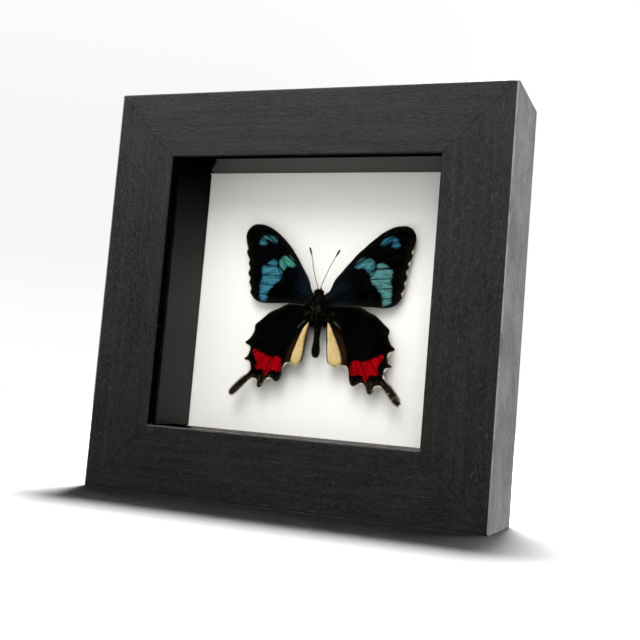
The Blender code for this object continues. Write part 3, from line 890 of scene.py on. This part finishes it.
def body_point(up, turn, grow=0.0):
    """Points on the body's skin, by height and turn. A quarter turn leads from +X to the back."""
    wide, thick, shift = (np.interp(-up, -BODY_SECTIONS[:, 0], BODY_SECTIONS[:, k]) for k in (1, 2, 3))
    return from_thorax(np.stack([
        shift + (wide + grow) * np.cos(turn),
        (thick + grow) * np.sin(turn),
        up,
    ], axis=-1))


def build_body(material):
    """Head, thorax and a ringed abdomen."""
    sides = 40
    turns = full_turn(sides)
    ups = np.concatenate([
        np.linspace(HEAD_TOP, ABDOMEN_TOP, 40),
        np.linspace(ABDOMEN_TOP - 0.2, ABDOMEN_END, 90),
    ])
    from_groove = ((ABDOMEN_TOP - ups) / ABDOMEN_RING + 0.5) % 1 - 0.5
    grooves = np.where(ups < ABDOMEN_TOP, 0.10 * np.exp(-(from_groove / 0.10) ** 2), 0.0)
    lumps = 0.06 * np.sin(3.1 * ups) * (ups > ABDOMEN_TOP)
    rings = [body_point(np.full(sides, up), turns, grow) for up, grow in zip(ups, lumps - grooves)]
    add_piece("body_skin", np.vstack(rings), loft_faces(len(ups), sides), material, ("body",))


def build_body_hair(dark_hair, pale_hair):
    """Shaggy hair on the thorax and head, and short hair on the abdomen."""
    rng = np.random.default_rng(11)
    zones = [
        ("thorax_hair", 5200, (-4.8, 4.2), 0.4, 0.9, 0.6, dark_hair),
        ("thorax_pale_hair", 70, (-4.8, 5.8), 0.4, 1.0, 0.6, pale_hair),
        ("head_hair", 1300, (4.0, 6.5), 0.3, 0.7, 0.2, dark_hair),
        ("abdomen_hair", 3400, (-18.4, -4.6), 0.2, 0.45, 0.8, dark_hair),
        ("abdomen_pale_hair", 110, (-18.2, -4.6), 0.2, 0.45, 0.8, pale_hair),
    ]
    for name, count, (low, high), short, long, down, material in zones:
        up = rng.uniform(low, high, count)
        turn = rng.uniform(math.pi, 2 * math.pi, count) + rng.normal(0, 0.25, count)
        roots = body_point(up, turn, -0.05)
        outward = unit(body_point(up, turn, 1.0) - roots)
        fall = np.array([0.0, 0.0, -1.0]) * down + rng.normal(0, 0.28, (count, 3))
        length = rng.uniform(short, long, (count, 1)) * MM
        tips = roots + unit(outward * (1 - 0.5 * down) + fall) * length
        sag = outward * length * 0.14
        add_hairs(name, material, roots, tips, mixed_tones(rng, count), sag=sag)


def build_thorax_tufts(material):
    """A few thick pale tufts, lengthwise along the thorax."""
    rng = np.random.default_rng(14)
    count = 20
    up = rng.uniform(-4.4, 1.4, count)
    turn = rng.normal(1.5 * math.pi, 0.55, count)
    roots = body_point(up, turn, 0.35)
    tips = body_point(up - rng.uniform(0.3, 0.7, count), turn + rng.normal(0, 0.05, count), 0.65)
    add_hairs("thorax_tufts", material, roots, tips, rng.uniform(0.0, 0.9, count), 0.07 * MM)


def build_root_hair(name, sign, count, radius, material, seed):
    """Long soft hairs that lie over the wings' roots, from the thorax outwards."""
    rng = np.random.default_rng(seed)
    angle = rng.uniform(math.radians(-62), math.radians(58), count)
    start = rng.uniform(1.6, 3.6, count)
    length = rng.uniform(1.2, 3.4, count) * np.where(angle < 0, 1.15, 0.8)
    toward = np.stack([np.cos(angle), np.sin(angle)], axis=1)
    middle = np.stack([np.zeros(count), np.where(angle > 0, 1.2, -1.2)], axis=1)
    base = middle + toward * start[:, None]
    tip = base + toward * length[:, None]
    roots = on_butterfly(base, -0.5 - rng.uniform(0.25, 0.9, count), sign)
    wings = np.minimum(forewing_depth(tip), hindwing_depth(tip))
    tips = on_butterfly(tip, wings - rng.uniform(0.15, 0.4, count), sign)
    add_hairs(name, material, roots, tips, mixed_tones(rng, count), radius, (0, -0.15 * MM, 0))


def build_waist_hair(name, sign, material, seed):
    """Dark hair that closes the top of the gap between the abdomen and the hindwing's inner fold."""
    rng = np.random.default_rng(seed)
    count = 900
    base = np.stack([rng.uniform(0.8, 3.4, count), rng.uniform(-5.6, -3.2, count)], axis=1)
    reach = rng.uniform(1.0, 4.4, (count, 1)) * rng.uniform(0.5, 1.0, (count, 1))
    tip = base + np.array([0.16, -1.0]) * reach + rng.normal(0, 0.16, (count, 2))
    roots = on_butterfly(base, rng.uniform(-0.6, 0.9, count), sign)
    tips = on_butterfly(tip, rng.uniform(-0.2, 1.0, count), sign)
    add_hairs(name, material, roots, tips, mixed_tones(rng, count), sag=(0, -0.1 * MM, 0))


def build_pale_tuft(wing, material, seed):
    """A slanting lock of pale hairs on the hindwing, from the thorax outwards."""
    rng = np.random.default_rng(seed)
    count = 26
    scatter = rng.normal(0, 0.22, (count, 2))
    base = np.array([5.4, -4.6]) + scatter + rng.uniform(0, 1, (count, 1)) * (2.6, -2.4)
    reach = rng.uniform(0.5, 1.3, (count, 1))
    tip = base + np.array([1.2, -1.1]) * reach + rng.normal(0, 0.08, (count, 2))
    roots = wing.points(base, hindwing_depth(base) - 0.1)
    tips = wing.points(tip, hindwing_depth(tip) - 0.3)
    tone = rng.uniform(0, 0.3, count)
    add_hairs("pale_tuft_" + wing.side, material, roots, tips, tone, 0.022 * MM)


def build_eye(name, sign, material):
    """An eye is a ball, flattened sideways."""
    sides = 24
    turns = full_turn(sides)
    circle = np.stack([np.zeros(sides), np.cos(turns), np.sin(turns)], axis=1)
    centre = np.array([-0.55 + sign * 1.25, 0.15, 5.55])
    rings = []
    for lift in np.linspace(-0.48, 0.48, 17) * math.pi:
        ball = circle * math.cos(lift) + (math.sin(lift), 0, 0)
        rings.append(from_thorax(centre + ball * (0.55, 0.85, 0.85)))
    add_piece(name, np.vstack(rings), loft_faces(len(rings), sides), material)


def build_head(skin, eye):
    """Eyes, and two short feelers beside the mouth."""
    for side, sign in (("left", -1), ("right", 1)):
        build_eye("eye_" + side, sign, eye)
        outs = -0.5 + sign * np.array([0.5, 0.7, 0.75])
        path = from_thorax(np.stack([outs, (0.3, -0.1, -0.35), (6.1, 6.7, 7.25)], axis=1))
        points, faces = tube(path, np.array([0.34, 0.3, 0.1]) * MM, 10)
        add_piece("palp_" + side, points, faces, skin)


def build_antennae(material):
    """Stalks of many short joints, thickening into clubs."""
    for name, (sign, path) in ANTENNAE.items():
        curve = smooth(path, 24, closed=False)
        share = np.linspace(0, 1, len(curve))
        club = ease((share - 0.80) / 0.10) * (1 - 0.75 * ease((share - 0.95) / 0.05))
        joints = 0.012 * np.cos(share * 46 * 2 * math.pi)
        radii = (0.125 + joints + 0.24 * club) * MM
        points, faces = tube(on_butterfly(curve, -0.4 - 0.5 * share, sign), radii, 10)
        add_piece(name + "_joints", points, faces, material, (name,))


def build_inner_fold(wing, cream, hair, seed):
    """The hindwing's inner fold: a soft cream roll with long scales combed down along it."""
    name = "inner_fold_" + wing.side
    rim = smooth(FOLD, 6, closed=True)
    flat, faces = wing_grid(rim, 0.3)
    edge = np.maximum(depth_in(flat, rim), 0)
    ridges = 0.07 * np.sin(flat[:, 0] * 7 + flat[:, 1] * 1.6) * ease(edge / 0.6)
    points = wing.points(flat, fold_depth(flat, rim) - 0.1 - ridges)
    values = {"rim": edge, "up": flat[:, 1]}
    add_piece(name, points, wing.facing(faces), cream, values=values)
    rng = np.random.default_rng(seed)
    tries = rng.uniform(rim.min(0), rim.max(0), (4500, 2))
    base = tries[depth_in(tries, rim) > 0.15][:1500]
    count = len(base)
    course = unit(np.array([0.42, -1.0]))
    tip = base + (course + rng.normal(0, 0.10, (count, 2))) * rng.uniform(0.7, 1.9, (count, 1))
    roots = wing.points(base, fold_depth(base, rim) - 0.12)
    tips = wing.points(tip, fold_depth(tip, rim) - 0.12 - rng.uniform(0.0, 0.22, count))
    tone = rng.uniform(0, 0.9, count)
    add_hairs(name + "_hair", hair, roots, tips, tone, 0.04 * MM, (0, -0.06 * MM, 0))


def build_wings(dark_hair, pale_hair):
    """Both pairs of wings, with their veins, their fringes and the hair over their roots."""
    fringe_hair = hair_material("fringe_hair", (4, 4, 3), (236, 226, 196))
    cream_hair = hair_material("cream_hair", (206, 168, 92), (255, 240, 184), 0.5)
    gold_hair = hair_material("gold_hair", (34, 28, 18), (150, 134, 92))
    vein_skin = chitin_material("vein_look", (0, 0, 1), (4, 4, 4), 0.6, 0.0)
    hindwing_look = hindwing_material()
    cream = cream_material()
    for side, sign, turn in (("left", -1, LEFT_HINDWING_TURN), ("right", 1, 0.0)):
        fore = Wing("forewing", side, sign, FOREWING, FOREWING_VEINS, forewing_depth)
        build_wing(fore, FOREWING_AREAS, forewing_material(side))
        build_veins(fore, vein_skin)
        build_fringe(fore, fringe_hair, lambda at: at[:, 0] > 6, 21 + sign)
        hind = Wing("hindwing", side, sign, HINDWING, HINDWING_VEINS, hindwing_depth, turn)
        build_wing(hind, HINDWING_AREAS, hindwing_look)
        build_veins(hind, vein_skin)
        build_fringe(hind, fringe_hair, lambda at: (at[:, 0] > 11) | (at[:, 1] < -19), 31 + sign)
        build_inner_fold(hind, cream, cream_hair, 41 + sign)
        build_root_hair("root_hair_" + side, sign, 1700, 0.026 * MM, dark_hair, 51 + sign)
        build_root_hair("root_gold_hair_" + side, sign, 90, 0.045 * MM, gold_hair, 61 + sign)
        build_waist_hair("waist_hair_" + side, sign, dark_hair, 71 + sign)
        build_pale_tuft(hind, pale_hair, 81 + sign)


def build_butterfly():
    dark_hair = hair_material("dark_hair", (0, 0, 0), (11, 9, 7))
    pale_hair = hair_material("pale_hair", (70, 64, 50), (188, 178, 144))
    skin = chitin_material("body_look", (2, 2, 2), (15, 12, 9), 0.5, 0.1)
    build_wings(dark_hair, pale_hair)
    build_body(skin)
    build_head(skin, eye_material())
    build_antennae(chitin_material("antenna_look", (8, 7, 6), (26, 22, 18), 0.45, 0.2))
    build_body_hair(dark_hair, pale_hair)
    build_thorax_tufts(pale_hair)


# ---------------- frame

def dress_frame():
    """Better materials for the CAD nodes that stay as they are."""
    wood_x = wood_material("wood_look_x", "x")
    wood_z = wood_material("wood_look_z", "z")
    # The strips carry painted shade: a shadow at the top strip's left end, and shade towards the side
    # strips' upper ends.
    board_x = board_material("board_look_x", (0.07, 1, 1), painted_corner_shadow)
    board_z = board_material("board_look_z", (1, 1, 0.07), painted_upper_end_shade)
    steel = steel_material()
    looks = {
        "rail_top": wood_x, "rail_bottom": wood_x, "rail_left": wood_z, "rail_right": wood_z,
        "glass_pane": glass_material(), "mount_card": card_material(), "back_board": hardboard_material(),
        "stand_off_block": foam_material(), "sawtooth_hanger": steel,
        "hanger_nail_left": steel, "hanger_nail_right": steel,
    }
    for side in ("top", "bottom", "left", "right"):
        looks["spacer_" + side] = board_x if side in ("top", "bottom") else board_z
        looks["tab_" + side] = steel
    for name, look in looks.items():
        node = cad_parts[name]
        node.data.materials.clear()
        node.data.materials.append(look)


# ---------------- stage, light and camera

def build_floor():
    """White paper that glows far from the object, so that no horizon shows.

    It lights the object less than it would at the brightness that the camera sees."""
    g = Look("floor_look")
    far = g.add("VectorMath", {0: g.place()}, operation="LENGTH").outputs["Value"]
    seen = g.add("LightPath").outputs["Is Camera Ray"]
    g.principled(Base_Color=g.mix(seen, (0.5, 0.5, 0.5), (0.8, 0.8, 0.8)), Roughness=0.9)
    g.principled(Emission_Color=(1.0, 1.0, 1.0), Emission_Strength=g.ramp(far, 0.13, 0.35))
    g.shader.inputs["Specular IOR Level"].default_value = 0.0
    mesh = bpy.data.meshes.new("floor")
    left, right, front, back = -1.6, 1.6, -0.85, 2.4
    corners = [(left, front, 0), (right, front, 0), (right, back, 0), (left, back, 0)]
    mesh.from_pydata(corners, [], [(0, 1, 2, 3)])
    mesh.materials.append(g.material)
    floor = new_object("floor", mesh)
    floor.visible_glossy = False
    floor.visible_transmission = False
    return floor


def build_world():
    """A white studio, which lights the object from behind and looks white, but greyer on the left."""
    world = bpy.data.worlds.new("studio")
    bpy.context.scene.world = world
    world.use_nodes = True
    world.node_tree.nodes.clear()
    g = Nodes(world.node_tree)
    x, y, z = g.axes(g.add("TexCoord").outputs["Generated"])
    lit = g.ramp(y, 0.4, 0.9, 0.0, 1.4)
    dusk = g.minus(g.ramp(z, 0.02, 0.15, 0.0, 0.078), g.ramp(z, 0.2, 0.42, 0.0, 0.06))
    seen = g.minus(1.0, g.times(dusk, g.ramp(x, -0.18, -0.45)))
    to_camera = g.add("LightPath").outputs["Is Camera Ray"]
    strength = g.add("Mix", {0: to_camera, 2: lit, 3: seen}, data_type="FLOAT").outputs[0]
    background = g.add("Background", {"Color": (1.0, 1.0, 1.0), "Strength": strength})
    g.add("OutputWorld", {"Surface": background.outputs[0]})


def add_light(name, place, aim, size, power, diffuse=True, glossy=True, without=()):
    """A rectangular lamp that lights rough surfaces, shines in glossy ones, or both.

    The objects in without aren't lit by it."""
    data = bpy.data.lights.new(name, "AREA")
    data.shape = "RECTANGLE"
    data.size, data.size_y = size
    data.energy = power
    lamp = new_object(name, data)
    place_and_aim(lamp, place, aim)
    lamp.visible_camera = False
    lamp.visible_diffuse = diffuse
    lamp.visible_glossy = glossy
    lamp.visible_transmission = glossy
    if without:
        group = bpy.data.collections.new(name + " leaves out")
        for obj in without:
            group.objects.link(obj)
        lamp.light_linking.receiver_collection = group
        for member in group.collection_objects:
            member.light_linking.link_state = "EXCLUDE"


def build_camera():
    """The photo's view, slightly rolled."""
    data = bpy.data.cameras.new("camera")
    data.lens = LENS_MM
    data.sensor_width = 36
    data.clip_start = 0.01
    camera = new_object("camera", data)
    place_and_aim(camera, CAMERA_PLACE, CAMERA_AIM, CAMERA_ROLL)
    bpy.context.scene.camera = camera


def build_lights(floor):
    """The key lamp throws the frame's shadow forward. The other lamps don't light the floor."""
    middle = (0, 0, HEIGHT / 2)
    soft = {"glossy": False, "without": (floor,)}
    add_light("key_lamp", (-0.10, 0.41, 1.25), (0, 0, 0), (0.3, 0.3), 38)
    add_light("front_lamp", (0.24, -1.0, 0.80), middle, (0.6, 0.8), 12, **soft)
    add_light("left_lamp", (-0.5, -0.85, 0.95), middle, (1.4, 1.0), 8.5, **soft)
    add_light("fill_lamp", (0.2, -1.0, 0.12), middle, (0.5, 0.5), 3.4, **soft)
    shine = {"diffuse": False, "without": (floor,)}
    add_light("sheen_lamp", (-0.7, -0.75, 0.98), middle, (1.0, 0.4), 9.5, **shine)


def main():
    build_camera()
    dress_frame()
    build_butterfly()
    build_lights(build_floor())
    build_world()
    bpy.context.scene.view_settings.view_transform = "Standard"


main()
